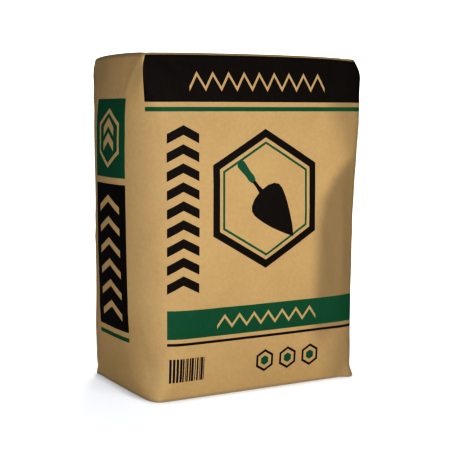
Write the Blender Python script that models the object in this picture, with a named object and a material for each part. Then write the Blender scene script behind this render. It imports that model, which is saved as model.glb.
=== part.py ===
"""A filled 25 kg cement sack: a pasted block-bottom valve sack of kraft paper, standing on its base.

Metres, +Z up, origin on the floor at the middle of the bounding box. The printed front faces -Y.
"""

import math

import bmesh
import bpy

# The tube of paper keeps one girth all the way up, so the sack is narrow and deep at the
# base, where the powder has settled, and wide and shallow at the top.
HEIGHT = 0.410
HALF_GIRTH = 0.453
BASE_WIDTH = 0.280
TOP_WIDTH = 0.304

# The top block sits a little to the right of the base and in front of it.
LEAN = (0.0043, -0.0043)

# How far the powder swells the tube between its folded ends, and how far it pushes the
# middle of each wall out past its corners.
TUBE_SWELL = 0.002
FRONT_CROWN = 0.005
SIDE_CROWN = 0.006

# Vertical corners: sharp in the glued end folds, soft between them.
# Corner lists run front left, front right, back right, back left.
CORNER_RADII = (0.017, 0.008, 0.012, 0.008)
FOLD_RADIUS = 0.002
FOLD_REACH = 0.066
TOP_EDGE_RADIUS = 0.003

# The top block's rim falls a little from the middle of each edge, and its corners, which hold
# no powder, are crushed round and fall further.
CRUSH_RADII = (0.010, 0.032, 0.021, 0.011)
CRUSH_REACH = 0.024
RIM_DROOP = 0.002
CORNER_DROOP = 0.003

# Hollows pressed into the front wall: across, up, half width, half height, depth.
FRONT_DENTS = (
    (0.152, 0.185, 0.046, 0.085, 0.0095),
    (0.123, 0.332, 0.025, 0.023, 0.003),
)

# Cover patches pasted over the folded ends, and the filling sleeve under the top one.
PATCH_THICKNESS = 0.0005
PATCH_MARGIN_X = 0.019
PATCH_MARGIN_Y = 0.017
PATCH_CORNER = 0.003
SLEEVE_WIDTH = 0.085
SLEEVE_LENGTH = 0.066
SLEEVE_THICKNESS = 0.0005
SLEEVE_END_MARGIN = 0.011
GLUE_GAP = 0.0003

SACK_TOP = HEIGHT - PATCH_THICKNESS - GLUE_GAP

WIDE_STEPS = 12
NARROW_STEPS = 8
CORNER_STEPS = 4
WALL_STEPS = 14
EDGE_STEPS = 4
NEAR_BASE = (0.0, 0.002, 0.006, 0.014)


def paper(name, colour, roughness):
    made = bpy.data.materials.new(name)
    made.use_nodes = True
    shader = made.node_tree.nodes["Principled BSDF"]
    shader.inputs["Base Color"].default_value = (*colour, 1.0)
    shader.inputs["Roughness"].default_value = roughness
    shader.inputs["Metallic"].default_value = 0.0
    return made


def smooth_step(t):
    t = min(max(t, 0.0), 1.0)
    return t * t * (3 - 2 * t)


def half_size(z):
    """Half the width and half the depth of the filled tube at height z, before its walls are crowned."""
    width = BASE_WIDTH + (TOP_WIDTH - BASE_WIDTH) * z / SACK_TOP
    swell = TUBE_SWELL * fullness(z)
    return width / 2 + swell, (HALF_GIRTH - width) / 2 + swell


def fullness(z):
    """0 at the flat folded ends, 1 at mid height."""
    return math.sin(math.pi * min(max(z / SACK_TOP, 0.0), 1.0)) ** 0.6


def middle(z):
    return LEAN[0] * z / SACK_TOP, LEAN[1] * z / SACK_TOP


def rounded_rectangle(half_x, half_y, radii):
    """Outline points, anticlockwise from the front left corner, with equal counts for any size."""
    turns = ((-1, -1, 180), (1, -1, 270), (1, 1, 0), (-1, 1, 90))
    arcs = []
    for (sign_x, sign_y, start), radius in zip(turns, radii):
        centre = (sign_x * (half_x - radius), sign_y * (half_y - radius))
        angles = [math.radians(start + 90 * k / CORNER_STEPS) for k in range(CORNER_STEPS + 1)]
        arcs.append([(centre[0] + radius * math.cos(a), centre[1] + radius * math.sin(a)) for a in angles])
    points = []
    for corner, arc in enumerate(arcs):
        following = arcs[(corner + 1) % 4][0]
        steps = WIDE_STEPS if corner % 2 == 0 else NARROW_STEPS
        points += arc
        for k in range(1, steps):
            share = k / steps
            points.append(tuple(a + (b - a) * share for a, b in zip(arc[-1], following)))
    return points


def wall_ring(z, level, inset=0.0):
    """The sack's outline at height z: a rounded rectangle, crowned by the fill and dented.

    The ring is placed at the height given by level, less the droop of the top rim.
    """
    half_x, half_y = half_size(z)
    middle_x, middle_y = middle(z)
    soft = smooth_step(z / FOLD_REACH) * smooth_step((SACK_TOP - z) / FOLD_REACH)
    crush = max(1 - (SACK_TOP - z) / CRUSH_REACH, 0.0) ** 2
    radii = [FOLD_RADIUS + (full - FOLD_RADIUS) * soft + crushed * crush - inset
             for full, crushed in zip(CORNER_RADII, CRUSH_RADII)]
    near_rim = smooth_step((z - SACK_TOP) / FOLD_REACH + 1)
    ring = []
    for x, y in rounded_rectangle(half_x - inset, half_y - inset, [max(radius, 0.001) for radius in radii]):
        share_x = min(abs(x) / half_x, 1.0)
        share_y = min(abs(y) / half_y, 1.0)
        corner = share_x * share_y
        crown_x = SIDE_CROWN * fullness(z) * math.cos(math.pi / 2 * share_y) * share_x ** 4
        crown_y = FRONT_CROWN * fullness(z) * math.cos(math.pi / 2 * share_x) * share_y ** 4
        pressed = 0.0
        if y < 0:
            for across, up, half_width, half_height, depth in FRONT_DENTS:
                distance = ((x - across) / half_width) ** 2 + ((z - up) / half_height) ** 2
                pressed += depth * math.exp(-distance) * share_y ** 4
        ring.append((
            x + math.copysign(crown_x, x) + middle_x,
            y + math.copysign(crown_y, y) + pressed + middle_y,
            level - near_rim * (RIM_DROOP * corner ** 2 + CORNER_DROOP * corner ** 6),
        ))
    return ring


def patch_half_size(z):
    half_x, half_y = half_size(z)
    return half_x - PATCH_MARGIN_X, half_y - PATCH_MARGIN_Y


def sack_rings():
    """Rings of points from the ceiling of the base recess, round the walls, to the patch seat on top."""
    base_x, base_y = patch_half_size(0.0)
    recess = rounded_rectangle(base_x + GLUE_GAP, base_y + GLUE_GAP, [PATCH_CORNER] * 4)
    rings = [[(x, y, PATCH_THICKNESS + GLUE_GAP) for x, y in recess], [(x, y, 0.0) for x, y in recess]]
    low, high = NEAR_BASE[-1], SACK_TOP - TOP_EDGE_RADIUS
    heights = list(NEAR_BASE) + [low + (high - low) * k / WALL_STEPS for k in range(1, WALL_STEPS)]
    rings += [wall_ring(z, z) for z in heights]
    for k in range(EDGE_STEPS):
        angle = math.pi / 2 * k / EDGE_STEPS
        level = high + TOP_EDGE_RADIUS * math.sin(angle)
        rings.append(wall_ring(level, level, TOP_EDGE_RADIUS * (1 - math.cos(angle))))
    top_x, top_y = patch_half_size(SACK_TOP)
    middle_x, middle_y = middle(SACK_TOP)
    seat = rounded_rectangle(top_x, top_y, [PATCH_CORNER] * 4)
    rings.append([(x + middle_x, y + middle_y, SACK_TOP) for x, y in seat])
    return rings


def solid_from_rings(name, rings, material, base):
    """Bridges the rings, caps both ends and stands the solid on the base empty."""
    shape = bmesh.new()
    loops = [[shape.verts.new(point) for point in ring] for ring in rings]
    for lower, upper in zip(loops, loops[1:]):
        for k in range(len(lower)):
            following = (k + 1) % len(lower)
            shape.faces.new((lower[k], lower[following], upper[following], upper[k]))
    shape.faces.new(reversed(loops[0]))
    shape.faces.new(loops[-1])
    bmesh.ops.recalc_face_normals(shape, faces=shape.faces)
    mesh = bpy.data.meshes.new(name)
    shape.to_mesh(mesh)
    shape.free()
    mesh.shade_smooth()
    mesh.set_sharp_from_angle(angle=math.radians(40))
    mesh.materials.append(material)
    made = bpy.data.objects.new(name, mesh)
    made.parent = base
    bpy.context.scene.collection.objects.link(made)
    return made


def flat_sheet(name, half_x, half_y, thickness, place, material, base):
    outline = rounded_rectangle(half_x, half_y, [PATCH_CORNER] * 4)
    rings = [[(x, y, z) for x, y in outline] for z in (0.0, thickness)]
    made = solid_from_rings(name, rings, material, base)
    made.location = place
    return made


def build_base_empty():
    """Everything hangs on one empty, which centres the leaning sack on the origin."""
    points = [point for ring in sack_rings() for point in ring]
    base = bpy.data.objects.new("sack_base", None)
    for axis in (0, 1):
        values = [point[axis] for point in points]
        base.location[axis] = -(min(values) + max(values)) / 2
    bpy.context.scene.collection.objects.link(base)
    return base


def sleeve_place(depth):
    """Middle of the filling sleeve, whose mouth is at the right end of the top block."""
    half_x, _ = half_size(SACK_TOP)
    middle_x, middle_y = middle(SACK_TOP)
    return middle_x + half_x - SLEEVE_END_MARGIN - SLEEVE_LENGTH / 2, middle_y, SACK_TOP - depth


def build_sack(base):
    kraft = paper("kraft_paper", (0.52, 0.36, 0.17), 0.75)
    sack = solid_from_rings("filled_sack", sack_rings(), kraft, base)
    half_x, half_y = SLEEVE_LENGTH / 2 + GLUE_GAP, SLEEVE_WIDTH / 2 + GLUE_GAP
    depth = SLEEVE_THICKNESS + GLUE_GAP
    pocket = flat_sheet("sleeve_pocket", half_x, half_y, 10 * depth, sleeve_place(depth), kraft, base)
    pocket.hide_render = True
    pocket.display_type = "WIRE"
    cut = sack.modifiers.new("sleeve_pocket", "BOOLEAN")
    cut.operation = "DIFFERENCE"
    cut.object = pocket


def build_patches(base):
    covering = paper("patch_paper", (0.48, 0.33, 0.17), 0.8)
    bottom_x, bottom_y = patch_half_size(0.0)
    flat_sheet("bottom_patch", bottom_x, bottom_y, PATCH_THICKNESS, (0.0, 0.0, 0.0), covering, base)
    top_x, top_y = patch_half_size(SACK_TOP)
    place = (*middle(SACK_TOP), SACK_TOP + GLUE_GAP)
    flat_sheet("top_patch", top_x, top_y, PATCH_THICKNESS, place, covering, base)


def build_sleeve(base):
    tongue = paper("sleeve_paper", (0.62, 0.48, 0.30), 0.7)
    place = sleeve_place(SLEEVE_THICKNESS)
    flat_sheet("valve_sleeve", SLEEVE_LENGTH / 2, SLEEVE_WIDTH / 2, SLEEVE_THICKNESS, place, tongue, base)


for existing in list(bpy.data.objects):
    bpy.data.objects.remove(existing)

sack_base = build_base_empty()
build_sack(sack_base)
build_patches(sack_base)
build_sleeve(sack_base)
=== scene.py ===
# A full cement sack, standing on its base: a block-bottom valve sack of brown kraft paper.
# Lengths are metres unless a name says MM. +Z is up and the printed front faces -Y.
import math

import bpy
import numpy as np
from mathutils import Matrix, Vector
from mathutils.geometry import delaunay_2d_cdt


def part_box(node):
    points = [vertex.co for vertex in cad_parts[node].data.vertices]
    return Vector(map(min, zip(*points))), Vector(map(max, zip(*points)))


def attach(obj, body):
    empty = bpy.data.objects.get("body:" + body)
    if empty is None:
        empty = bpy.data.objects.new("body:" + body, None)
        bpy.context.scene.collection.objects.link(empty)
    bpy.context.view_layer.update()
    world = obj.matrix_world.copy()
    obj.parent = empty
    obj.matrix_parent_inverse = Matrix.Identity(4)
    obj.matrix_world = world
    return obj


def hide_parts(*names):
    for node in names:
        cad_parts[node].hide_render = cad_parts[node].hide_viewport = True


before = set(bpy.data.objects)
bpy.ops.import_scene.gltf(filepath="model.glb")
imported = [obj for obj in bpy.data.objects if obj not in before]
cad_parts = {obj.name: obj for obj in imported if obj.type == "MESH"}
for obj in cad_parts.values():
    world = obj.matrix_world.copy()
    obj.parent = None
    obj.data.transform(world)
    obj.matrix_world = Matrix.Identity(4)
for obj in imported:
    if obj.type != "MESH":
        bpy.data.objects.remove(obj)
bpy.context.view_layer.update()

# The filled tube. One sheet of brown kraft paper is rolled into a tube, pasted down its back,
# folded and pasted shut at both ends, and filled with 25 kg of cement through the valve.
# Its girth is the same all the way up: narrow and deep at the base, wide and shallow on top.

# The covers end this far short of the folds, on a film of paste.
PATCH_MARGIN_X = 0.019
PATCH_MARGIN_Y = 0.017
PASTE_GAP = 0.0003

# How the powder swells the walls, and how far the pasted folds and crushed corners reach.
TUBE_SWELL = 0.002
FRONT_CROWN = 0.005
SIDE_CROWN = 0.009
FOLD_RADIUS = 0.002
FOLD_REACH = 0.066
CRUSH_REACH = 0.024

# The top's rim hangs a little, its corners more, and the fuller front left one less.
RIM_DROOP = 0.002
CORNER_DROOP = 0.003
FULL_CORNER = 0.78

# Corners run front right, back right, back left, front left: the way the sheet is measured.
# Their radii are along the wide faces and along the narrow ones. Then come how far each is
# crushed round at the top, blunt at the base and crisp at the top.
CORNER_RADII = (0.009, 0.014, 0.009, 0.036)
SIDE_RADII = (0.009, 0.014, 0.009, 0.066)
CRUSH_RADII = (0.025, 0.021, 0.011, 0.002)
BLUNT_AT_BASE = (0.0, 0.01, 0.0, 0.024)
CRISP_AT_TOP = (0.0, 0.0, 0.0, 0.02)

# Hollows and swellings of the front, in millimetres: middle across and up, reach across and
# up, turn in degrees, and how far the paper is pressed in (or out, where it is negative).
FRONT_DENTS_MM = (
    (168, 335, 40, 42, -25, 6.0),
    (-10, 260, 95, 110, 0, -3.5),
    (10, -4, 400, 32, 0, 3.5),
)

# The broad hollow at the right of the front falls away from this line at a steady slope.
HOLLOW_EDGE_MM = ((150, 294), (108, 254), (94, 230), (87, 185), (87, 30))
HOLLOW_SLOPE = 0.19
HOLLOW_ROUNDING_MM = 7
HOLLOW_DEEPEST_MM = 9.5
HOLLOW_FOOT_MM = (10, 190)

# The wall turns into the base round a tight fold and into the top round a softer one.
BASE_FOLD = 0.0012
TOP_FOLD = 0.003

base_low, base_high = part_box("bottom_patch")
top_low, top_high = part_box("top_patch")
sack_top = top_low.z - PASTE_GAP
base_middle = np.array((base_low + base_high)[:2]) / 2
top_middle = np.array((top_low + top_high)[:2]) / 2
base_half = np.array((base_high - base_low)[:2]) / 2 + (PATCH_MARGIN_X, PATCH_MARGIN_Y)
top_half = np.array((top_high - top_low)[:2]) / 2 + (PATCH_MARGIN_X, PATCH_MARGIN_Y)
GIRTH = 2 * float(base_half.sum() + top_half.sum())

# Places on the sheet are (along, up): along runs to the right from the middle of the front,
# up is the height of the paper when the sack stands. The pasted seam runs up the back,
# this far past its middle, with one edge of the sheet a ply above the other.
SEAM_PAST_MIDDLE = 0.098
GLUE_SEAM = SEAM_PAST_MIDDLE - GIRTH / 2
SEAM_OVERLAP = 0.026
PLY_STEP = 0.0004


def smooth_step(t):
    """Level at 0 up to t = 0 and at 1 from t = 1."""
    t = np.clip(t, 0.0, 1.0)
    return t * t * (3 - 2 * t)


def ramp(value, start, end):
    """The same between two values: 0 at start and 1 at end, whichever is the greater."""
    return smooth_step((value - start) / (end - start))


def fullness(z):
    """How freely the wall bulges at height z: 0 at the pasted ends, 1 half way up."""
    return np.sin(np.pi * np.clip(z / sack_top, 0.0, 1.0)) ** 0.6


def tube_half(z):
    return base_half + (top_half - base_half) * z / sack_top + TUBE_SWELL * fullness(z)


def tube_middle(z):
    return base_middle + (top_middle - base_middle) * z / sack_top


def even_steps(path, count):
    """The closed path again, as count points at equal steps along it, from its first point."""
    closed = np.vstack([path, path[:1]])
    along = np.concatenate([[0.0], np.cumsum(np.linalg.norm(np.diff(closed, axis=0), axis=1))])
    steps = np.arange(count) * along[-1] / count
    return np.stack([np.interp(steps, along, closed[:, k]) for k in range(closed.shape[1])], axis=1)


def tube_ring(z, count):
    """Points round the tube at height z, from the middle of the front and on to the right."""
    half_x, half_y = tube_half(z)
    crush = max(1 - (sack_top - z) / CRUSH_REACH, 0.0) ** 2
    path = [(0.0, -half_y)]
    corners = zip(((1, -1), (1, 1), (-1, 1), (-1, -1)),
                  CORNER_RADII, SIDE_RADII, CRUSH_RADII, BLUNT_AT_BASE, CRISP_AT_TOP)
    for number, ((side_x, side_y), wide, deep, crushed, blunt, crisp) in enumerate(corners):
        soft = smooth_step((z + blunt) / FOLD_REACH) * smooth_step((sack_top - z - crisp) / FOLD_REACH)
        tight = FOLD_RADIUS + crushed * crush
        radius_x = tight + (wide - FOLD_RADIUS) * soft
        radius_y = tight + (deep - FOLD_RADIUS) * soft
        for angle in np.radians(90 * (number - 1) + np.linspace(0, 90, 13)):
            x = side_x * (half_x - radius_x) + radius_x * math.cos(angle)
            path.append((x, side_y * (half_y - radius_y) + radius_y * math.sin(angle)))
    x, y = even_steps(np.array(path), 8 * count).T
    share_x, share_y = np.minimum(abs(x) / half_x, 1), np.minimum(abs(y) / half_y, 1)
    crown_x = SIDE_CROWN * fullness(z) * np.cos(np.pi / 2 * share_y) * share_x ** 4 * np.sign(x)
    crown_y = FRONT_CROWN * fullness(z) * np.cos(np.pi / 2 * share_x) * share_y ** 4 * np.sign(y)
    crown_y += np.where(y < 0, front_dents(x * 1000, z * 1000) * share_y ** 4, 0.0)
    droop = smooth_step((z - sack_top) / FOLD_REACH + 1) * rim_droop(x / half_x, y / half_y)
    ring = np.stack([x + crown_x, y + crown_y, z - droop], axis=1)
    ring[:, :2] += tube_middle(z)
    return even_steps(ring, count)


def inside_hollow(across, up):
    """How far places lie inside the hollow's edge, in millimetres, negative outside it."""
    nearest = np.full(len(across), 1e3)
    inward = np.zeros(len(across))
    for (ax, ay), (bx, by) in zip(HOLLOW_EDGE_MM, HOLLOW_EDGE_MM[1:]):
        run, rise = bx - ax, by - ay
        share = np.clip(((across - ax) * run + (up - ay) * rise) / (run ** 2 + rise ** 2), 0, 1)
        from_x, from_y = across - ax - share * run, up - ay - share * rise
        away = np.hypot(from_x, from_y)
        side = np.sign(rise * -from_x + run * from_y)
        closer = away < nearest
        nearest = np.where(closer, away, nearest)
        inward = np.where(closer, side, inward)
    return nearest * inward


def hollow_distance(across, up):
    """The same, but never negative, and rounded off at the edge."""
    share = np.clip(inside_hollow(across, up) / HOLLOW_ROUNDING_MM, -30, 30)
    return HOLLOW_ROUNDING_MM * np.log1p(np.exp(share))


def front_dents(across, up):
    """How far the front is pressed in at places in millimetres, in metres."""
    fall = HOLLOW_SLOPE * hollow_distance(across, up)
    fall = HOLLOW_DEEPEST_MM * np.tanh(fall / HOLLOW_DEEPEST_MM)
    foot_low, foot_high = HOLLOW_FOOT_MM
    pressed = fall / 1000 * smooth_step((up - foot_low) / (foot_high - foot_low))
    for *place, depth in FRONT_DENTS_MM:
        pressed = pressed + depth / 1000 * dint(across, up, *place)
    return pressed


def dint(across, up, middle, rise, reach_across, reach_up, turn):
    """A soft round dint, 1 at its middle."""
    cos, sin = math.cos(math.radians(turn)), math.sin(math.radians(turn))
    run = (across - middle) * cos + (up - rise) * sin
    lift = (up - rise) * cos - (across - middle) * sin
    return np.exp(-(run / reach_across) ** 2 - (lift / reach_up) ** 2)


def rim_droop(x, y):
    """How far the top's rim hangs at places given as shares of its half length and half width."""
    corner = np.minimum(abs(x), 1) * np.minimum(abs(y), 1)
    corner = corner * np.where((x < 0) & (y < 0), FULL_CORNER, 1.0)
    return RIM_DROOP * corner ** 2 + CORNER_DROOP * corner ** 6


# Powder presses the tube out. The grid is simulated as stiff cloth under pressure, with its
# two pasted ends held, and no point may move more than a few millimetres.
FORM_COLUMNS = 150
FORM_ROWS = 66
PRESSURE = 4.0
CLOTH_STEPS = 20
PASTED_FADE = 0.45
MOST_MOVE = 0.004
wall_heights = np.linspace(BASE_FOLD, sack_top - TOP_FOLD, FORM_ROWS)
form = np.array([tube_ring(z, FORM_COLUMNS) for z in wall_heights])


def in_scene(name, data):
    """A new object of this data, linked to the scene."""
    made = bpy.data.objects.new(name, data)
    bpy.context.scene.collection.objects.link(made)
    return made


def grid_faces(rows, columns):
    faces = []
    for row in range(rows - 1):
        for column in range(columns):
            low, high = row * columns, (row + 1) * columns
            following = (column + 1) % columns
            faces.append((low + column, low + following, high + following, high + column))
    return faces


def pressed_out(grid):
    """The grid of points after the powder has pressed it out as cloth."""
    rows, columns = grid.shape[:2]
    faces = grid_faces(rows, columns)
    faces.append(tuple(reversed(range(columns))))
    faces.append(tuple(range((rows - 1) * columns, rows * columns)))
    mesh = bpy.data.meshes.new("tube_form")
    mesh.from_pydata(grid.reshape(-1, 3).tolist(), [], faces)
    tube = in_scene("tube_form", mesh)
    held = tube.vertex_groups.new(name="pasted")
    for row in range(rows):
        near_end = min(row, rows - 1 - row)
        weight = max(1.0 - PASTED_FADE * near_end, 0.0)
        held.add(range(row * columns, (row + 1) * columns), weight, "REPLACE")
    cloth = tube.modifiers.new("powder", "CLOTH")
    paper = cloth.settings
    paper.quality = 6
    paper.mass = 0.3
    paper.tension_stiffness = 60
    paper.compression_stiffness = 60
    paper.shear_stiffness = 30
    paper.bending_stiffness = 6
    paper.air_damping = 4
    paper.vertex_group_mass = "pasted"
    paper.use_pressure = True
    paper.uniform_pressure_force = PRESSURE
    paper.effector_weights.gravity = 0
    for step in range(1, CLOTH_STEPS + 1):
        bpy.context.scene.frame_set(step)
    settled = tube.evaluated_get(bpy.context.evaluated_depsgraph_get()).to_mesh()
    points = np.zeros(len(settled.vertices) * 3)
    settled.vertices.foreach_get("co", points)
    bpy.context.scene.frame_set(1)
    bpy.data.objects.remove(tube)
    moved = points.reshape(grid.shape) - grid
    length = np.maximum(np.linalg.norm(moved, axis=2, keepdims=True), 1e-9)
    return grid + moved * np.minimum(MOST_MOVE / length, 1.0)


form = pressed_out(form)


def cubic_weights(t):
    """Smooth cubic weights of the four neighbours of a point that lies t of the way along."""
    return np.stack([
        (-t + 2 * t ** 2 - t ** 3) / 2,
        (2 - 5 * t ** 2 + 3 * t ** 3) / 2,
        (t + 4 * t ** 2 - 3 * t ** 3) / 2,
        (t ** 3 - t ** 2) / 2,
    ])


def on_form(along, up):
    """The place in space of each point of the sheet on the smooth form."""
    column = along / GIRTH * FORM_COLUMNS
    row = (up - wall_heights[0]) / (wall_heights[-1] - wall_heights[0]) * (FORM_ROWS - 1)
    first_column = np.floor(column).astype(int)
    first_row = np.clip(np.floor(row).astype(int), 0, FORM_ROWS - 2)
    across, rising = cubic_weights(column - first_column), cubic_weights(row - first_row)
    padded = np.concatenate([2 * form[:1] - form[1:2], form, 2 * form[-1:] - form[-2:-1]])
    total = np.zeros((len(along), 3))
    for i in range(4):
        for j in range(4):
            corner = padded[first_row + i, (first_column + j - 1) % FORM_COLUMNS]
            total += (rising[i] * across[j])[:, None] * corner
    return total


# Creases in the paper. The listed ones are lines on the sheet that show in the photograph, with
# how far they stand out and how wide their flanks are, in millimetres. The rest are small
# chance ones, such as every sack gets from being handled.
CREASES_MM = (
    (((-165, 408), (-166, 394), (-177, 380), (-184, 362)), 2.2, 6),
    (((128, 273), (108, 254), (93, 230), (86, 180), (85, 110)), 0.7, 12),
    (((139, 12), (131, 30), (118, 44)), 0.5, 6),
    (((-156, 14), (-146, 19), (-136, 22)), -0.5, 3),
    (((-160, 6), (-153, 34), (-151, 62), (-158, 92)), 0.6, 5),
)

# The folded corners stick out as small ears at the base, and settled powder pushes the walls
# out or lets them in. Each push is a place on the sheet, its reach round and up, and how far
# it stands out, all sideways.
PUSHES_MM = (
    (141, 0, 8, 10, 6.5),
    (-312, 0, 8, 8, 2.0),
    (-150, 0, 24, 7, -1.2),
    (-308, 62, 45, 36, 2.2),
    (-306, 240, 60, 50, -0.8),
    (150, 170, 26, 75, 2.4),
    (153, 335, 24, 40, 5.8),
)

# Soft dints in the paper: middle along and up, reach along and up, turn in degrees, and depth.
DINTS_MM = (
    (86, 335, 7, 30, -36, 0.9),
    (118, 318, 9, 34, -30, 0.9),
    (102, 296, 12, 16, -35, -1.0),
    (-105, 250, 24, 20, 0, 0.7),
    (-118, 102, 14, 26, 0, 0.7),
    (-132, 150, 8, 40, 6, -0.5),
    (150, 322, 38, 42, 0, 1.2),
)

# The chance creases: how many, how long and how deep, and how wide their flanks are for their
# length. Every ridge is rounded off, as the paper is several plies thick.
CHANCE_CREASES = 150
CREASE_REACH = (0.010, 0.040)
CREASE_DEPTH = 0.0007
CREASE_ROUNDING = 0.002
CREASE_FLANK = 0.22
chance = np.random.default_rng(25)
chance_creases = {
    "along": chance.uniform(-GIRTH / 2, GIRTH / 2, CHANCE_CREASES),
    "up": chance.uniform(0, sack_top, CHANCE_CREASES),
    "turn": chance.uniform(0, math.pi, CHANCE_CREASES),
    "reach": chance.uniform(*CREASE_REACH, CHANCE_CREASES),
    "depth": chance.normal(0, CREASE_DEPTH, CHANCE_CREASES),
}


def wrapped(along):
    """Distance along the sheet, measured the short way round the tube."""
    return (along + GIRTH / 2) % GIRTH - GIRTH / 2


def from_line(along, up, line):
    """Distance from places on the sheet to the nearest point of a broken line."""
    nearest = np.full(len(along), 9.0)
    for (ax, ay), (bx, by) in zip(line, line[1:]):
        run, rise = bx - ax, by - ay
        across, over = wrapped(along - ax), up - ay
        share = np.clip((across * run + over * rise) / (run ** 2 + rise ** 2), 0, 1)
        nearest = np.minimum(nearest, np.hypot(across - share * run, over - share * rise))
    return nearest


def relief(along, up):
    """How far the paper stands out from the smooth form."""
    height = np.zeros(len(along))
    for line, rise, reach in CREASES_MM:
        away = from_line(along, up, np.array(line) / 1000)
        height += rise / 1000 * np.exp(-np.sqrt(away ** 2 + CREASE_ROUNDING ** 2) * 1000 / reach)
    for *place, depth in DINTS_MM:
        height -= depth / 1000 * dint(wrapped(along) * 1000, up * 1000, *place)
    for middle, rise, turn, reach, depth in zip(*chance_creases.values()):
        across, over = wrapped(along - middle), up - rise
        near = np.hypot(across, over) < 3 * reach
        run = across[near] * math.cos(turn) + over[near] * math.sin(turn)
        lift = over[near] * math.cos(turn) - across[near] * math.sin(turn)
        fold = np.exp(-np.sqrt(lift ** 2 + CREASE_ROUNDING ** 2) / (CREASE_FLANK * reach))
        height[near] += depth * fold * np.exp(-(run / reach) ** 2)
    return height


# Creases and dints die out this close to the folds, which the paste holds flat. The wall's
# direction is taken from points LOOK_AROUND away on each side.
HELD_FLAT = 0.012
LOOK_AROUND = 0.002


def on_sack(along, up):
    """The place in space of each point of the sheet, with its dents, and round its end folds.

    Below wall_heights[0] and above wall_heights[-1], up goes on along the folds' arcs.
    """
    low, high = wall_heights[0], wall_heights[-1]
    on_wall = np.clip(up, low, high)
    ahead, behind = on_form(along + LOOK_AROUND, on_wall), on_form(along - LOOK_AROUND, on_wall)
    above = on_form(along, np.minimum(on_wall + LOOK_AROUND, high))
    below = on_form(along, np.maximum(on_wall - LOOK_AROUND, low))
    outward = np.cross(ahead - behind, above - below)
    outward /= np.linalg.norm(outward, axis=1, keepdims=True)
    height = relief(along, on_wall)
    height = height * smooth_step((on_wall - low) / HELD_FLAT) * smooth_step((high - on_wall) / HELD_FLAT)
    height += PLY_STEP * (1 - smooth_step((along - GLUE_SEAM) / SEAM_OVERLAP))
    place = on_form(along, on_wall) + outward * height[:, None]
    level = outward * (1, 1, 0)
    level /= np.linalg.norm(level, axis=1, keepdims=True)
    for middle, rise, reach_along, reach_up, out in PUSHES_MM:
        away = (wrapped(along - middle / 1000) * 1000 / reach_along) ** 2
        away += ((on_wall * 1000 - rise) / reach_up) ** 2
        place += level * (out / 1000 * np.exp(-away))[:, None]
    for beyond, radius, rise in ((low - up, BASE_FOLD, -1), (up - high, TOP_FOLD, 1)):
        angle = np.clip(beyond / radius, 0, math.pi / 2)
        place -= level * (radius * (1 - np.cos(angle)))[:, None]
        place[:, 2] += rise * radius * np.sin(angle)
    return place


# The print, in millimetres on the sheet. Two inks, near-black and dark green, are rolled on
# to the bare kraft before the tube is made. Both wide faces carry one design and both narrow
# faces another: plain bands, chevrons, a hexagon and a trowel.
BARE, BLACK, GREEN = 0, 1, 2
SEAM_MM = GLUE_SEAM * 1000
GIRTH_MM = GIRTH * 1000
printed = []


def rectangle(left, low, right, high):
    return [(left, low), (right, low), (right, high), (left, high)]


def polygon(x, y, radius, corners, turn):
    angles = np.radians(turn + np.arange(corners) * 360 / corners)
    return [(x + radius * math.cos(a), y + radius * math.sin(a)) for a in angles]


def turned(points, x, y, degrees):
    """The points turned about the origin, then carried to (x, y)."""
    cos, sin = math.cos(math.radians(degrees)), math.sin(math.radians(degrees))
    return [(x + a * cos - b * sin, y + a * sin + b * cos) for a, b in points]


def ink(colour, *loops):
    """One printed shape: its outline, and the outline of its hole if it has one."""
    printed.append((colour, [np.array(loop) for loop in loops]))


def band(colour, middle, left, low, right, high):
    """A level band, cut in two where it crosses the pasted seam."""
    left, right = middle + left, middle + right
    if left > SEAM_MM + GIRTH_MM:
        left, right = left - GIRTH_MM, right - GIRTH_MM
    ink(colour, rectangle(left, low, min(right, SEAM_MM + GIRTH_MM), high))
    if right > SEAM_MM + GIRTH_MM:
        ink(colour, rectangle(SEAM_MM, low, right - GIRTH_MM, high))


def chevron(middle, low, half_width, rise, thickness):
    """A bent bar that points up."""
    left, right = middle - half_width, middle + half_width
    return [
        (left, low), (middle, low + rise), (right, low),
        (right, low + thickness), (middle, low + rise + thickness), (left, low + thickness),
    ]


def zigzag(left, right, low, high, thickness, peaks):
    """A ribbon of even peaks, drawn along its lower edge and back along its upper one."""
    xs = np.linspace(left, right, 2 * peaks + 1)
    ys = np.where(np.arange(2 * peaks + 1) % 2 == 0, low, high - thickness)
    lower = list(zip(xs, ys))
    return lower + [(x, y + thickness) for x, y in reversed(lower)]


def trowel():
    """A pointing trowel about 120 mm long, tip down: its blade, its neck and its handle."""
    shares = np.linspace(0, 1, 15)[1:]
    edge = [(26 * (1 - t ** 1.5), -62 * t) for t in shares]
    right_side = [(0, 13), (13, 11), (21, 7), (25, 2)] + edge
    blade = right_side + [(-x, y) for x, y in reversed(right_side[1:-1])]
    neck = [(-3.4, 10), (3.4, 10), (2.2, 20), (2.2, 29), (-2.2, 29), (-2.2, 20)]
    grip = [(5.6 * math.cos(a), 54 + 5.6 * math.sin(a)) for a in np.radians(np.linspace(0, 180, 13))]
    handle = [(-3.2, 28), (3.2, 28), (4.6, 33), (4.2, 40)] + grip + [(-4.2, 40), (-4.6, 33)]
    return blade, neck, handle


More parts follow.
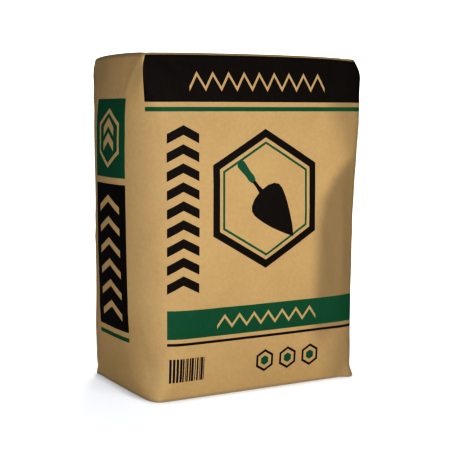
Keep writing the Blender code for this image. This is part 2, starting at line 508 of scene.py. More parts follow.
def wide_face(middle):
    """The print of a wide face whose middle is at this place along the sheet."""
    band(BLACK, middle, -152, 352, 156, 406.6)
    ink(BARE, zigzag(middle - 95, middle + 95, 364, 388, 6, 9))
    band(GREEN, middle, -152, 341, 156, 346)
    for k in range(9):
        ink(BLACK, chevron(middle - 105, 128 + 22 * k, 20, 10, 11))
    hexagon_x, hexagon_y = middle + 6, 236
    ink(BLACK, polygon(hexagon_x, hexagon_y, 84, 6, 30), polygon(hexagon_x, hexagon_y, 74, 6, 30))
    ink(GREEN, polygon(hexagon_x, hexagon_y, 69, 6, 30), polygon(hexagon_x, hexagon_y, 66, 6, 30))
    blade, neck, handle = trowel()
    for colour, outline in ((BLACK, blade), (BLACK, neck), (GREEN, handle)):
        ink(colour, turned(outline, hexagon_x, hexagon_y, 40))
    band(GREEN, middle, -125, 74, 154, 108)
    ink(BARE, zigzag(middle - 60, middle + 84, 82, 100, 5, 7))
    band(BLACK, middle, -125, 66, 154, 69)
    bars = np.random.default_rng(4)
    left = -122.0
    while left < -76:
        width = bars.choice((0.9, 1.8, 2.7))
        ink(BLACK, rectangle(middle + left, 22, middle + left + width, 50))
        left += width + bars.choice((0.9, 1.8))
    for k in range(3):
        small_x = middle + 10 + 34 * k
        ink(BLACK, polygon(small_x, 36, 14, 6, 30), polygon(small_x, 36, 11, 6, 30))
        ink(GREEN, polygon(small_x, 36, 6, 6, 30))


def narrow_face(middle):
    """The print of a narrow face, all in the middle 86 mm."""
    ink(GREEN, rectangle(middle - 43, 262, middle + 43, 356))
    ink(BARE, polygon(middle, 309, 36, 6, 30), polygon(middle, 309, 30, 6, 30))
    ink(BARE, chevron(middle, 293, 16, 12, 11))
    ink(BARE, chevron(middle, 311, 16, 12, 11))
    ink(BLACK, rectangle(middle - 43, 76, middle + 43, 254))
    for k in range(6):
        ink(BARE, chevron(middle, 88 + 26 * k, 30, 14, 9))
    ink(GREEN, rectangle(middle - 43, 64, middle + 43, 69))


wide_face(0)
wide_face(GIRTH_MM / 2)
narrow_face(GIRTH_MM / 4)
narrow_face(-GIRTH_MM / 4)

# The sheet is meshed flat, with the print's outlines among its edges, and then set in place.
# The even grid leaves out the points that would crowd an outline.
SHEET_STEP = 0.003
OUTLINE_STEP = 0.003
CLEAR_OF_OUTLINE = 0.0013
FOLD_RINGS = 4
BASE_ARC = BASE_FOLD * math.pi / 2
TOP_ARC = TOP_FOLD * math.pi / 2
columns = round(GIRTH / SHEET_STEP)
sheet_along = GLUE_SEAM + np.arange(columns + 1) * GIRTH / columns
wall_length = wall_heights[-1] - wall_heights[0]
wall_rows = np.linspace(wall_heights[0], wall_heights[-1], round(wall_length / SHEET_STEP))
sheet_up = np.concatenate([
    wall_heights[0] - BASE_ARC + np.arange(FOLD_RINGS) * BASE_ARC / FOLD_RINGS,
    wall_rows,
    wall_heights[-1] + np.arange(1, FOLD_RINGS + 1) * TOP_ARC / FOLD_RINGS,
])


def split_edges(loop):
    """The loop's points with more between them, so that long edges follow the paper."""
    points = []
    for start, end in zip(loop, np.roll(loop, -1, axis=0)):
        pieces = max(1, math.ceil(np.linalg.norm(end - start) / OUTLINE_STEP))
        points += [start + (end - start) * k / pieces for k in range(pieces)]
    return np.array(points)


def loop_edges(count, first=0):
    """The edges of a closed loop of count points, the first of which has this number."""
    return [(first + k, first + (k + 1) % count) for k in range(count)]


def flat_mesh(points, edges, fill=0):
    """Triangles between flat points that keep the edges: over all, or with fill 1 only inside."""
    made = delaunay_2d_cdt([tuple(p) for p in points], edges, [], fill, 1e-6)
    return np.array([tuple(v) for v in made[0]]), np.array([tuple(f) for f in made[2]])


def inside(places, loops):
    """Which places lie inside an odd number of the loops."""
    odd = np.zeros(len(places), bool)
    for loop in loops:
        for (ax, ay), (bx, by) in zip(loop, np.roll(loop, -1, axis=0)):
            if ay == by:
                continue
            crosses = (places[:, 1] > ay) != (places[:, 1] > by)
            at = ax + (places[:, 1] - ay) * (bx - ax) / (by - ay)
            odd ^= crosses & (places[:, 0] < at)
    return odd


outlines = [(colour, [loop / 1000 for loop in loops]) for colour, loops in printed]
fine_loops = [split_edges(loop) for colour, loops in outlines for loop in loops]
on_outline = np.concatenate(fine_loops)
grid_along, grid_up = np.meshgrid(sheet_along, sheet_up)
keep = np.ones(grid_along.shape, bool)
nearest_column = np.round((on_outline[:, 0] - GLUE_SEAM) / GIRTH * columns).astype(int)
nearest_row = np.abs(sheet_up[None, :] - on_outline[:, 1:2]).argmin(axis=1)
gap = np.hypot(sheet_along[nearest_column] - on_outline[:, 0], sheet_up[nearest_row] - on_outline[:, 1])
crowded = gap < CLEAR_OF_OUTLINE
keep[nearest_row[crowded], nearest_column[crowded]] = False
keep[:, 0] = keep[:, -1] = True
sheet_points = np.concatenate([np.stack([grid_along[keep], grid_up[keep]], axis=1), on_outline])
sheet_edges = []
first = int(keep.sum())
for loop in fine_loops:
    sheet_edges += loop_edges(len(loop), first)
    first += len(loop)
flat_points, flat_faces = flat_mesh(sheet_points, sheet_edges)
middles = flat_points[flat_faces].mean(axis=1)
face_inks = np.zeros(len(flat_faces), int)
for colour, loops in outlines:
    corners = np.concatenate(loops)
    low, high = corners.min(axis=0), corners.max(axis=0)
    near = np.flatnonzero(((middles > low) & (middles < high)).all(axis=1))
    face_inks[near[inside(middles[near], loops)]] = colour
tube_points = on_sack(flat_points[:, 0], flat_points[:, 1])

# The folded ends. At each end the tube's long flaps are folded in over its short ones, and
# the edges of the long flaps run in from the corners at 45 degrees, a ply above the short ones.
# Where they meet, one long flap lies over the other along the middle.
END_STEP = 0.004

# How high the flaps' steps stand, and how far they take to ease in.
FLAP_STEP = 0.0006
FLAP_EDGE = 0.0014
FLAP_OVERLAP = 0.022
OVERLAP_EDGE = 0.002
OVERLAP_SHARE = 0.4
TOP_EASE = 0.004
TOP_SINK = 0.0003
BASE_EASE = 0.010
BASE_RISE = 0.0009


def flap_relief(places, half, middle):
    """The flaps' steps: 0 on a long flap, more where two overlap, less on the short ones."""
    x, y = (places - middle).T
    from_end, from_side = half[0] - abs(x), half[1] - abs(y)
    on_short = smooth_step((from_side - from_end) / FLAP_EDGE)
    on_overlap = smooth_step((y + FLAP_OVERLAP / 2) / OVERLAP_EDGE)
    on_overlap = on_overlap * smooth_step((FLAP_OVERLAP / 2 - y) / OVERLAP_EDGE)
    return FLAP_STEP * (OVERLAP_SHARE * on_overlap - on_short)


def top_level(places):
    """The height of the top's folded flaps at places seen from above."""
    x, y = (places - top_middle).T
    from_rim = np.minimum(top_half[0] - abs(x), top_half[1] - abs(y))
    inner = smooth_step((from_rim - TOP_FOLD) / TOP_EASE)
    droop = rim_droop(x / top_half[0], y / top_half[1])
    return sack_top - TOP_SINK - droop + flap_relief(places, top_half, top_middle) * inner


def base_level(places):
    """The height of the base's folded flaps, which arch a little off the floor."""
    x, y = (places - base_middle).T
    from_rim = np.minimum(base_half[0] - abs(x), base_half[1] - abs(y))
    inner = smooth_step((from_rim - BASE_FOLD) / BASE_EASE)
    return (BASE_RISE - flap_relief(places, base_half, base_middle)) * inner


def end_panel(up, half, middle, level_at):
    """The flat end inside the ring of folds at up: its points in space and its triangles."""
    ring = on_sack(sheet_along, np.full(columns + 1, up))
    xs = np.arange(-half[0], half[0], END_STEP)
    ys = np.arange(-half[1], half[1], END_STEP)
    grid = np.stack(np.meshgrid(xs, ys), axis=-1).reshape(-1, 2) + middle
    inner_loop = middle + (ring[:, :2] - middle) * (1 - END_STEP / half)
    grid = grid[inside(grid, [inner_loop])]
    flat, faces = flat_mesh(np.concatenate([ring[:, :2], grid]), loop_edges(len(ring)), 1)
    level = level_at(flat)
    level[:len(ring)] = ring[:, 2]
    return np.column_stack([flat, level]), faces


top_points, top_faces = end_panel(sheet_up[-1], top_half, top_middle, top_level)
base_points, base_faces = end_panel(sheet_up[0], base_half, base_middle, base_level)

# Paper and ink. Sack kraft is unbleached pulp, pressed and dried on rollers and left uncoated,
# so it looks brown, matt and faintly streaked. The inks are water-based ones printed by flexo
# plates: they sink in and leave the paper matt, with no gloss or edge of their own.


def linear(code):
    """An sRGB colour such as "c8a26a" as linear red, green and blue, and a full alpha."""
    parts = [int(code[k:k + 2], 16) / 255 for k in (0, 2, 4)]
    return [c / 12.92 if c <= 0.04045 else ((c + 0.055) / 1.055) ** 2.4 for c in parts] + [1.0]


def empty_tree(owner):
    """The node tree of a material or a world, with nothing in it."""
    owner.use_nodes = True
    owner.node_tree.nodes.clear()
    return owner.node_tree


def add(tree, kind, inputs=(), **settings):
    """Add one node with its settings. inputs pairs each socket with a value or an output."""
    made = tree.nodes.new(kind)
    for name, value in settings.items():
        setattr(made, name, value)
    for socket, value in inputs:
        if isinstance(value, bpy.types.NodeSocket):
            tree.links.new(value, made.inputs[socket])
        else:
            made.inputs[socket].default_value = value
    return made


# Sizes of the paper's marks in millimetres. Formation clouds are about 5 mm across, cockle
# about 22 mm, and the clouds of dust and handling about 70 mm. Real fibres are 0.04 mm by 3 mm,
# too fine to show, so they are drawn as bundles 1 mm by 16 mm with streaks down to 0.07 mm.
FIBRE_WIDTH_MM = 1.11111
FIBRE_LENGTH_MM = 15.873
FORMATION_MM = 4.7619
COCKLE_MM = 22.2222
CLOUD_MM = 71.4286
FIBRE_SHARE = 0.4
FIBRE_RELIEF = 0.0002
COCKLE_RELIEF = 0.0012
PAPER_IOR = 1.5

# The grey-brown tone that painted shade and cement dust darken the paper towards, and the tone of
# rubbed kraft, with how much of each a full mark or a fold shows. The last is how much of the
# paper a fold shows through ink.
SHADE_AND_DUST_TONE, SHADE_AND_DUST_SHARE = "6b5f4b", 0.53
SCUFFED_KRAFT, SCUFFING = "a8977c", 0.35
RUB_THROUGH = 0.6


def paper_finish(name, light, dark, roughness, ink_colour=None, show_through=0.0):
    """Rolled kraft paper, bare or printed, as one material."""
    material = bpy.data.materials.new(name)
    tree = empty_tree(material)
    sheet = add(tree, "ShaderNodeUVMap", uv_map="sheet").outputs["UV"]
    # Fibres lie mostly along the roll, so the streaks run up the sack.
    stretch = (1.0, FIBRE_WIDTH_MM / FIBRE_LENGTH_MM, 1.0)
    along_roll = add(tree, "ShaderNodeVectorMath", [(0, sheet), (1, stretch)], operation="MULTIPLY")
    fibres = add(tree, "ShaderNodeTexNoise", [
        ("Vector", along_roll.outputs[0]), ("Scale", 1000 / FIBRE_WIDTH_MM),
        ("Detail", 4.0), ("Roughness", 0.6)]).outputs["Fac"]
    # Formation is the cloudy look of pulp that settled unevenly, a few millimetres across.
    formation = add(tree, "ShaderNodeTexNoise", [
        ("Vector", sheet), ("Scale", 1000 / FORMATION_MM),
        ("Detail", 3.0), ("Roughness", 0.55)]).outputs["Fac"]
    # Large soft clouds are cement dust and handling.
    clouds = add(tree, "ShaderNodeTexNoise", [
        ("Vector", sheet), ("Scale", 1000 / CLOUD_MM),
        ("Detail", 2.0), ("Roughness", 0.5)]).outputs["Fac"]
    mottle = add(tree, "ShaderNodeMath", [
        (0, fibres), (1, FIBRE_SHARE), (2, formation)], operation="MULTIPLY_ADD")
    mottle = add(tree, "ShaderNodeMath", [
        (0, clouds), (1, 1.0), (2, mottle.outputs[0])], operation="MULTIPLY_ADD")
    tone = add(tree, "ShaderNodeMapRange", [
        ("Value", mottle.outputs[0]), ("From Min", 0.5), ("From Max", 1.9)])
    pulp = add(tree, "ShaderNodeMix", [
        ("Factor", tone.outputs[0]), ("A", linear(dark)), ("B", linear(light))], data_type="RGBA")
    # The marks darken the paper towards grey-brown: painted shade on the front and along the base,
    # cement dust on the back, and a darker band at the rim.
    grip = add(tree, "ShaderNodeAttribute", attribute_name="painted_shade_and_dust").outputs["Fac"]
    shade_and_dust = add(tree, "ShaderNodeMath", [(0, grip), (1, SHADE_AND_DUST_SHARE)], operation="MULTIPLY", use_clamp=True)
    shaded_and_dusty = add(tree, "ShaderNodeMix", [
        ("Factor", shade_and_dust.outputs[0]), ("A", pulp.outputs["Result"]),
        ("B", linear(SHADE_AND_DUST_TONE))], data_type="RGBA")
    colour = shaded_and_dusty.outputs["Result"]
    wear = add(tree, "ShaderNodeAttribute", attribute_name="fold_wear").outputs["Fac"]
    if ink_colour:
        # Ink misses the deepest gaps between fibres, and folds rub it thin.
        misses = add(tree, "ShaderNodeMapRange", [
            ("Value", fibres), ("From Min", 0.56), ("From Max", 0.78), ("To Max", show_through)])
        rubbed = add(tree, "ShaderNodeMath", [(0, wear), (1, fibres)], operation="MULTIPLY")
        bare = add(tree, "ShaderNodeMath", [
            (0, rubbed.outputs[0]), (1, RUB_THROUGH), (2, misses.outputs[0])],
            operation="MULTIPLY_ADD", use_clamp=True)
        inked = add(tree, "ShaderNodeMix", [
            ("Factor", bare.outputs[0]), ("A", linear(ink_colour)), ("B", colour)], data_type="RGBA")
        colour = inked.outputs["Result"]
    else:
        # A fold breaks the fibres' surface, which greys and lightens the bare paper a little.
        rubbed = add(tree, "ShaderNodeMath", [(0, wear), (1, SCUFFING)], operation="MULTIPLY")
        scuffed = add(tree, "ShaderNodeMix", [
            ("Factor", rubbed.outputs[0]), ("A", colour),
            ("B", linear(SCUFFED_KRAFT))], data_type="RGBA")
        colour = scuffed.outputs["Result"]
    gloss = add(tree, "ShaderNodeMapRange", [
        ("Value", formation), ("To Min", roughness - 0.06), ("To Max", roughness + 0.08)])
    # Cockle is the slight unevenness that paper takes on as it dries.
    cockle = add(tree, "ShaderNodeTexNoise", [
        ("Vector", sheet), ("Scale", 1000 / COCKLE_MM),
        ("Detail", 1.0), ("Roughness", 0.4)]).outputs["Fac"]
    waves = add(tree, "ShaderNodeBump", [
        ("Height", cockle), ("Distance", COCKLE_RELIEF), ("Strength", 0.35)])
    grain = add(tree, "ShaderNodeBump", [
        ("Height", fibres), ("Distance", FIBRE_RELIEF), ("Strength", 0.5), ("Normal", waves.outputs[0])])
    surface = add(tree, "ShaderNodeBsdfPrincipled", [
        ("Base Color", colour), ("Roughness", gloss.outputs[0]), ("IOR", PAPER_IOR),
        ("Specular IOR Level", 0.25), ("Normal", grain.outputs[0])])
    add(tree, "ShaderNodeOutputMaterial", [("Surface", surface.outputs[0])])
    return material


KRAFT_LIGHT, KRAFT_DARK = "bfa57b", "ae946a"
# Bare kraft from the roll: a warm matt brown, with a soft cloudy grain.
kraft = paper_finish("kraft_paper_off_the_roll", KRAFT_LIGHT, KRAFT_DARK, 0.72)
# Black carbon ink: a warm near-black, as matt as the paper, that covers almost all of it.
black_ink = paper_finish("black_flexo_ink_on_kraft", KRAFT_LIGHT, KRAFT_DARK, 0.68, "1b1510", 0.03)
# Green pigment ink: it lies thinner, so more of the brown shows and it has a trace of sheen.
green_ink = paper_finish("green_flexo_ink_on_kraft", KRAFT_LIGHT, KRAFT_DARK, 0.62, "1f5a3f", 0.06)


def made_object(name, points, faces, materials, sheet_places, face_slots=None, wear=None, grip=None):
    """A mesh object with its places on the sheet as its UV map, and its marks for each point."""
    mesh = bpy.data.meshes.new(name)
    mesh.from_pydata(np.asarray(points).tolist(), [], [tuple(int(k) for k in f) for f in faces])
    layer = mesh.uv_layers.new(name="sheet")
    corners = np.zeros(len(mesh.loops), int)
    mesh.loops.foreach_get("vertex_index", corners)
    layer.data.foreach_set("uv", np.asarray(sheet_places)[corners].ravel())
    # The second mark darkens the paper: painted shade and dust.
    for mark, values in (("fold_wear", wear), ("painted_shade_and_dust", grip)):
        layer = mesh.attributes.new(mark, "FLOAT", "POINT")
        layer.data.foreach_set("value", np.zeros(len(points)) if values is None else values)
    for material in materials:
        mesh.materials.append(material)
    if face_slots is not None:
        mesh.polygons.foreach_set("material_index", face_slots)
    mesh.shade_smooth()
    return in_scene(name, mesh)


# Painted shade and marks of use. The paper is darkened towards grey-brown: painted shade in the
# hollow at the right of the front, along that edge, faintly on the left and along the base fold;
# grey cement dust from dusty hands and other sacks on the back's upper part; and a darker rim.
EDGE_SHADE, BACK_MARK, LEFT_SHADE, BASE_SHADE, RIM_MARK = 0.72, 0.4, 0.15, 0.6, 0.8

# The painted shade at the right edge starts at these heights and places across, in millimetres.
EDGE_SHADE_UP_MM = (0, 60, 110, 260, 285, 350)
EDGE_SHADE_FROM_MM = (86, 88, 200, 200, 110, 82)
EDGE_SHADE_WIDTH_MM = 48

# The hollow's painted shade begins outside its edge, further out low down, and is full inside it.
HOLLOW_SHADE_OUTSIDE_MM = (12, 18)
HOLLOW_SHADE_WIDENS_MM = (255, 225)
HOLLOW_SHADE_INSIDE_MM = 9

# The others come in from the first height or place across to the second, but the left one is
# placed like a dint.
HOLLOW_SHADE_UP_MM = (25, 95)
FRONT_SHADE_ACROSS_MM = (178, 133)
BACK_MARK_RIGHT_MM, BACK_MARK_LEFT_MM = (-190, -280), (-400, -360)
BACK_MARK_UP_MM = (290, 380)
BASE_SHADE_UP_MM = (4.5, 1.5)
RIM_MARK_UP_MM = (402.5, 406.5)
LEFT_SHADE_MM = (-126, 250, 26, 110, 0)


def shade_and_dust_marks(along, up):
    """How far the paper is darkened at places on the sheet in millimetres, from 0 to 1, by painted shade
    and dust.
    """
    narrow, broad = HOLLOW_SHADE_OUTSIDE_MM
    outside = narrow + (broad - narrow) * ramp(up, *HOLLOW_SHADE_WIDENS_MM)
    shade_in_hollow = ramp(inside_hollow(along, up), -outside, HOLLOW_SHADE_INSIDE_MM)
    shade_in_hollow = shade_in_hollow * ramp(up, *HOLLOW_SHADE_UP_MM)
    edge = np.interp(up, EDGE_SHADE_UP_MM, EDGE_SHADE_FROM_MM)
    shade_at_edge = EDGE_SHADE * ramp(along, edge, edge + EDGE_SHADE_WIDTH_MM)
    shade_on_front = np.maximum(shade_in_hollow, shade_at_edge) * ramp(along, *FRONT_SHADE_ACROSS_MM)
    at_back = ramp(along, *BACK_MARK_RIGHT_MM) * ramp(along, *BACK_MARK_LEFT_MM)
    at_back = BACK_MARK * at_back * ramp(up, *BACK_MARK_UP_MM)
    # Painted shade, faint, on the left of the front.
    shade_at_left = LEFT_SHADE * dint(along, up, *LEFT_SHADE_MM)
    # Painted shade along the base fold, all round.
    shade_at_base = BASE_SHADE * ramp(up, *BASE_SHADE_UP_MM)
    at_rim = RIM_MARK * ramp(up, *RIM_MARK_UP_MM)
    return np.maximum.reduce([shade_on_front, at_back, shade_at_left, shade_at_base, at_rim])


# The sack itself. The printed wall, its pasted seam and its two folded ends are one sheet of
# kraft, so they are one closed mesh. Its folds are rubbed bare over the last few millimetres.
RUBBED_FROM = 0.0005
RUBBED_AT_TOP = 0.003
RUBBED_AT_BASE = 0.002
WELD_REACH = 0.00002


def points_at(along):
    """The numbers of the sheet's points at this place along it, from the base up."""
    found = np.flatnonzero(np.isclose(flat_points[:, 0], along))
    return found[np.argsort(flat_points[found, 1])]


seam_left, seam_right = points_at(sheet_along[0]), points_at(sheet_along[-1])
lip_faces = []
for k in range(len(seam_left) - 1):
    lip_faces.append((seam_right[k], seam_left[k], seam_left[k + 1], seam_right[k + 1]))
sack_points = np.concatenate([tube_points, top_points, base_points])
first_top = len(tube_points)
first_base = first_top + len(top_points)
sack_faces = flat_faces.tolist() + lip_faces
sack_faces += (top_faces + first_top).tolist()
sack_faces += (base_faces[:, ::-1] + first_base).tolist()
sack_places = np.concatenate([flat_points, top_points[:, :2], base_points[:, :2]])
sack_slots = np.zeros(len(sack_faces), int)
sack_slots[:len(flat_faces)] = face_inks
wear = np.zeros(len(sack_points))
up = flat_points[:, 1]
rubbed_top = smooth_step((up - wall_heights[-1] - RUBBED_FROM) / RUBBED_AT_TOP)
rubbed_base = smooth_step((wall_heights[0] - up) / RUBBED_AT_BASE + 1)
wear[:len(up)] = np.maximum(rubbed_top, rubbed_base)
# The paper's darkening for each point: painted shade on the front and along the base, and dust.
grip = np.zeros(len(sack_points))
grip[:len(up)] = shade_and_dust_marks(flat_points[:, 0] * 1000, up * 1000)
sack = made_object("kraft_sack", sack_points, sack_faces, [kraft, black_ink, green_ink],
                   sack_places, sack_slots, wear, grip)
welder = sack.modifiers.new("weld", "WELD")
welder.merge_threshold = WELD_REACH
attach(sack, "root")
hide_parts("filled_sack")

# The valve sleeve. A flat tube of pale paper is pasted in under the top's right end. The cement
# is blown in through it, and the filling then presses it shut. Its mouth gapes a little beyond
# the cover.
SLEEVE_PLY = 0.00018
MOUTH_GAPE = 0.0016
MOUTH_REACH = 0.016
MOUTH_WORN = 0.002
SLEEVE_THICKNESS = 0.00045
CLEARANCE = 0.00005
SHUT_STATIONS = 13
MOUTH_STATIONS = 10
ACROSS = 31
# Bleached kraft, pressed smoother than the sack's own: a pale cream that stands out from it.
sleeve_kraft = paper_finish("bleached_valve_paper", "ddd3bf", "c9bea8", 0.7)
sleeve_low, sleeve_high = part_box("valve_sleeve")
sleeve_middle_y = (sleeve_low.y + sleeve_high.y) / 2
sleeve_half_width = (sleeve_high.y - sleeve_low.y) / 2
stations = np.concatenate([
    np.linspace(sleeve_low.x, sleeve_high.x - MOUTH_REACH, SHUT_STATIONS + 1)[:-1],
    np.linspace(sleeve_high.x - MOUTH_REACH, sleeve_high.x, MOUTH_STATIONS),
])


def sleeve_loop(x, inset):
    """The sleeve's section at x: along the lower ply to +Y and back along the upper one."""
    share = np.sin(np.linspace(-math.pi / 2, math.pi / 2, ACROSS))
    ys = sleeve_middle_y + share * (sleeve_half_width - inset)
    resting = top_level(np.column_stack([np.full(ACROSS, x), ys])) + CLEARANCE
    gape = MOUTH_GAPE * smooth_step((x - sleeve_high.x) / MOUTH_REACH + 1)
    gape = gape * np.cos(math.pi / 2 * share) ** 1.5
    thin = np.sqrt(np.maximum(1 - share ** 8, 0.0))
    low = resting + SLEEVE_THICKNESS / 2 * (1 - thin) + inset
    high = resting + SLEEVE_THICKNESS / 2 * (1 + thin) + gape - inset
    lower = np.column_stack([np.full(ACROSS, x), ys, np.minimum(low, high)])
    upper = np.column_stack([np.full(ACROSS, x), ys, np.maximum(low, high)])
    return np.concatenate([lower, upper[::-1][1:-1]])


# The skin runs out to the mouth along the outside, and back in as far as the sleeve is open.
open_stations = stations[SHUT_STATIONS:]
skin = [sleeve_loop(x, 0.0) for x in stations]
skin += [sleeve_loop(x, SLEEVE_PLY) for x in reversed(open_stations)]
around = 2 * ACROSS - 2
sleeve_faces = [tuple(reversed(range(around)))]
for k in range(len(skin) - 1):
    for j in range(around):
        here, there = k * around + j, k * around + (j + 1) % around
        sleeve_faces.append((here, there, there + around, here + around))
sleeve_faces.append(tuple(range((len(skin) - 1) * around, len(skin) * around)))
sleeve_points = np.concatenate(skin)
sleeve_near_mouth = smooth_step((sleeve_points[:, 0] - sleeve_high.x) / MOUTH_WORN + 1)
sleeve = made_object("valve_sleeve_tube", sleeve_points, sleeve_faces, [sleeve_kraft],
                     sleeve_points[:, :2], wear=sleeve_near_mouth)
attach(sleeve, "root")
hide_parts("valve_sleeve")

# The two covers. A sheet of kraft paper is pasted over each folded end and holds the flaps
# shut. The paper is soft with paste when it goes on, so the steps under it show through.
COVER_THICKNESS = 0.0004
COVER_CORNER = 0.003
COVER_STEP = 0.004
COVER_RIPPLE = 0.00012
PASTE_FILM = 0.0001
OVER_SLEEVE = 0.00055
SLEEVE_SHOULDER = 0.004
CUT_EDGE_WEAR = 0.6
ELSEWHERE_ON_ROLL = (0.3, 0.7)
# The same kraft, damp with paste when it was pressed flat: a shade darker and duller.
patch_kraft = paper_finish("kraft_cover_paper_pasted_flat", "bd9a69", "a28255", 0.75)


def over_sleeve(places):
    """How much the sleeve lifts the cover: all of its thickness over its middle."""
    x, y = places.T
    beside = sleeve_half_width - abs(y - sleeve_middle_y)
    over = smooth_step(beside / SLEEVE_SHOULDER + 1)
    return OVER_SLEEVE * over * smooth_step((x - sleeve_low.x) / SLEEVE_SHOULDER + 1)


def cover(name, low, high, resting, finish):
    """A pasted sheet of the size between low and high, lying on the height that resting gives."""
    outline = []
    corners = ((high.x, low.y, -90), (high.x, high.y, 0), (low.x, high.y, 90), (low.x, low.y, 180))
    for x, y, start in corners:
        centre_x = x - math.copysign(COVER_CORNER, x - (low.x + high.x) / 2)
        centre_y = y - math.copysign(COVER_CORNER, y - (low.y + high.y) / 2)
        for angle in np.radians(start + np.linspace(0, 90, 5)):
            outline.append((centre_x + COVER_CORNER * math.cos(angle),
                            centre_y + COVER_CORNER * math.sin(angle)))
    outline = split_edges(np.array(outline))
    xs = np.arange(low.x + COVER_STEP, high.x - COVER_STEP / 2, COVER_STEP)
    ys = np.arange(low.y + COVER_STEP, high.y - COVER_STEP / 2, COVER_STEP)
    grid = np.stack(np.meshgrid(xs, ys), axis=-1).reshape(-1, 2)
    edges = loop_edges(len(outline))
    flat, faces = flat_mesh(np.concatenate([outline, grid]), edges, 1)
    under = resting(flat)
    # Paste leaves slow ripples, some 75 to 130 mm long, that die at the cut edge.
    ripple = np.sin(flat[:, 0] * 61 + 2 * np.sin(flat[:, 1] * 47)) * np.sin(flat[:, 1] * 83)
    ripple *= COVER_RIPPLE
    ripple[:len(outline)] = 0
    upper = np.column_stack([flat, under + COVER_THICKNESS + abs(ripple)])
    lower = np.column_stack([flat, under])
    count = len(flat)
    every = faces.tolist() + (faces[:, ::-1] + count).tolist()
    for a, b in edges:
        every.append((a + count, b + count, b, a))
    edge_wear = np.zeros(2 * count)
    edge_wear[:len(outline)] = CUT_EDGE_WEAR
    edge_wear[count:count + len(outline)] = CUT_EDGE_WEAR
    # The covers are cut across the roll, from elsewhere on it.
    places = np.concatenate([flat, flat])[:, ::-1] + ELSEWHERE_ON_ROLL
    piece = made_object(name, np.concatenate([upper, lower]), every, [finish], places, wear=edge_wear)
    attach(piece, "root")
    return piece


def over_flaps(places):
    return top_level(places) + PASTE_FILM + over_sleeve(places)


def on_floor(places):
    return np.full(len(places), CLEARANCE)


top_cover = cover("top_cover", top_low, top_high, over_flaps, patch_kraft)
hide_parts("top_patch")
base_cover = cover("base_cover", base_low, base_high, on_floor, patch_kraft)
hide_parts("bottom_patch")

# The studio floor. It is wide, flat and painted matt white, and lit to near white in the
# picture, so that only the shadow that touches the sack tells it from the background.
FLOOR_RADIUS = 40
# The floor's own glow, seen only by the camera, is painted light that stands for the light of the
# room. It is weaker near the sack, full from GLOW_TO outwards, and held back where the paper all
# but touches the floor, which paints a soft shadow round the sack's foot.
GLOW_FROM, GLOW_TO = 0.25, 0.9
GLOW_NEAR, GLOW_FAR = 0.34, 0.7
CONTACT_REACH = 0.014
floor_mesh = bpy.data.meshes.new("studio_floor")
floor_ring = []
for angle in np.radians(np.arange(0, 360, 5)):
    floor_ring.append((FLOOR_RADIUS * math.cos(angle), FLOOR_RADIUS * math.sin(angle), 0.0))
floor_mesh.from_pydata(floor_ring, [], [tuple(range(len(floor_ring)))])
floor = in_scene("studio_floor", floor_mesh)
paint = bpy.data.materials.new("matt_white_floor_paint")
floor_tree = empty_tree(paint)
# The floor that lights the sack is greyer than the one that the picture shows, so that less
# comes up on to the paper.
to_camera = add(floor_tree, "ShaderNodeLightPath").outputs["Is Camera Ray"]
shade = add(floor_tree, "ShaderNodeMix", [
    ("Factor", to_camera), ("A", linear("b0b0b0")), ("B", linear("d8d8d8"))], data_type="RGBA")
matt = add(floor_tree, "ShaderNodeBsdfDiffuse", [("Color", shade.outputs["Result"])])
place = add(floor_tree, "ShaderNodeTexCoord").outputs["Object"]
away = add(floor_tree, "ShaderNodeVectorMath", [(0, place)], operation="LENGTH")
bright = add(floor_tree, "ShaderNodeMapRange", [
    ("Value", away.outputs["Value"]), ("From Min", GLOW_FROM), ("From Max", GLOW_TO),
    ("To Min", GLOW_NEAR), ("To Max", GLOW_FAR)])
lit = add(floor_tree, "ShaderNodeMath", [(0, to_camera), (1, bright.outputs[0])], operation="MULTIPLY")
open_above = add(floor_tree, "ShaderNodeAmbientOcclusion", [("Distance", CONTACT_REACH)], samples=8)
held = add(floor_tree, "ShaderNodeMath", [
    (0, lit.outputs[0]), (1, open_above.outputs["AO"])], operation="MULTIPLY")
glow = add(floor_tree, "ShaderNodeEmission", [("Color", linear("f8fbff")), ("Strength", held.outputs[0])])
coat = add(floor_tree, "ShaderNodeAddShader", [(0, matt.outputs[0]), (1, glow.outputs[0])])
add(floor_tree, "ShaderNodeOutputMaterial", [("Surface", coat.outputs[0])])
floor_mesh.materials.append(paint)

# The lamps. Round softboxes, all turned to the middle of the sack's front. The big one stands
# low at the front left, and a small one close in front of the right half evens it out. A weak
# one lights the narrow side, and two behind and above keep the back and the top from going dark.
LAMP_AIM = Vector((0.02, -0.07, 0.22))


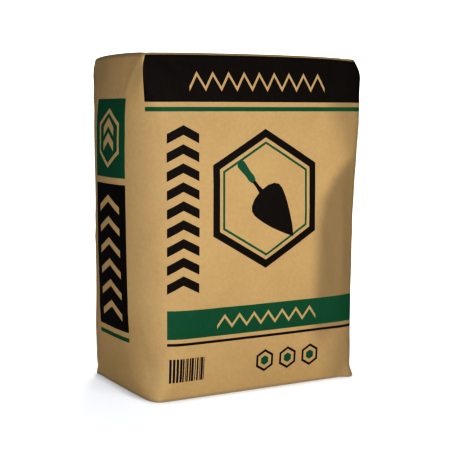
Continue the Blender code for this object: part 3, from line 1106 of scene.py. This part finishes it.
def studio_lamp(name, place, size, energy, colour):
    """A round softbox: its place and size in metres, its power in watts and its colour."""
    data = bpy.data.lights.new(name, "AREA")
    data.shape = "DISK"
    data.size = size
    data.energy = energy
    data.color = linear(colour)[:3]
    lamp = in_scene(name, data)
    lamp.location = place
    lamp.rotation_euler = (lamp.location - LAMP_AIM).to_track_quat("Z", "Y").to_euler()


studio_lamp("front_softbox", (-0.9, -1.15, 0.2), 0.8, 9.2, "f2f6ff")
studio_lamp("near_lamp", (0.17, -0.75, 0.3), 0.4, 2.15, "fffaf2")
studio_lamp("side_lamp", (-0.9, -0.3, 0.14), 0.4, 1.15, "fffaf2")
studio_lamp("back_lamp", (0.95, 1.5, 1.25), 0.8, 11, "fffaf2")
studio_lamp("top_lamp", (0.1, 0.35, 1.0), 0.4, 1.4, "fffaf2")

# The room. Pale light comes from all round and fills the shadows, and the camera sees plain
# white behind the sack.
world = bpy.data.worlds.new("studio")
bpy.context.scene.world = world
world_tree = empty_tree(world)
seen = add(world_tree, "ShaderNodeLightPath").outputs["Is Camera Ray"]
room = add(world_tree, "ShaderNodeBackground", [("Color", linear("dfeaff")), ("Strength", 0.18)])
backdrop = add(world_tree, "ShaderNodeBackground", [("Color", linear("ffffff")), ("Strength", 1.0)])
mixed = add(world_tree, "ShaderNodeMixShader", [(0, seen), (1, room.outputs[0]), (2, backdrop.outputs[0])])
add(world_tree, "ShaderNodeOutputWorld", [("Surface", mixed.outputs[0])])
bpy.context.scene.view_settings.view_transform = "Standard"
bpy.context.scene.view_settings.look = "Very High Contrast"

# The camera stands where the photograph was taken from: about 1.4 m off to the front left and
# a little below the sack's top, with a portrait lens. Six corners of the sack gave its place.
CAMERA_PLACE = (-0.6582, -1.1888, 0.3415)
CAMERA_PITCH, CAMERA_YAW = -6.118, -28.938
LENS_MM = 85.14
camera_data = bpy.data.cameras.new("camera")
camera_data.sensor_width = 36
camera_data.lens = LENS_MM
camera = in_scene("camera", camera_data)
bpy.context.scene.camera = camera
camera.location = CAMERA_PLACE
camera.rotation_euler = (math.radians(90 + CAMERA_PITCH), 0, math.radians(CAMERA_YAW))
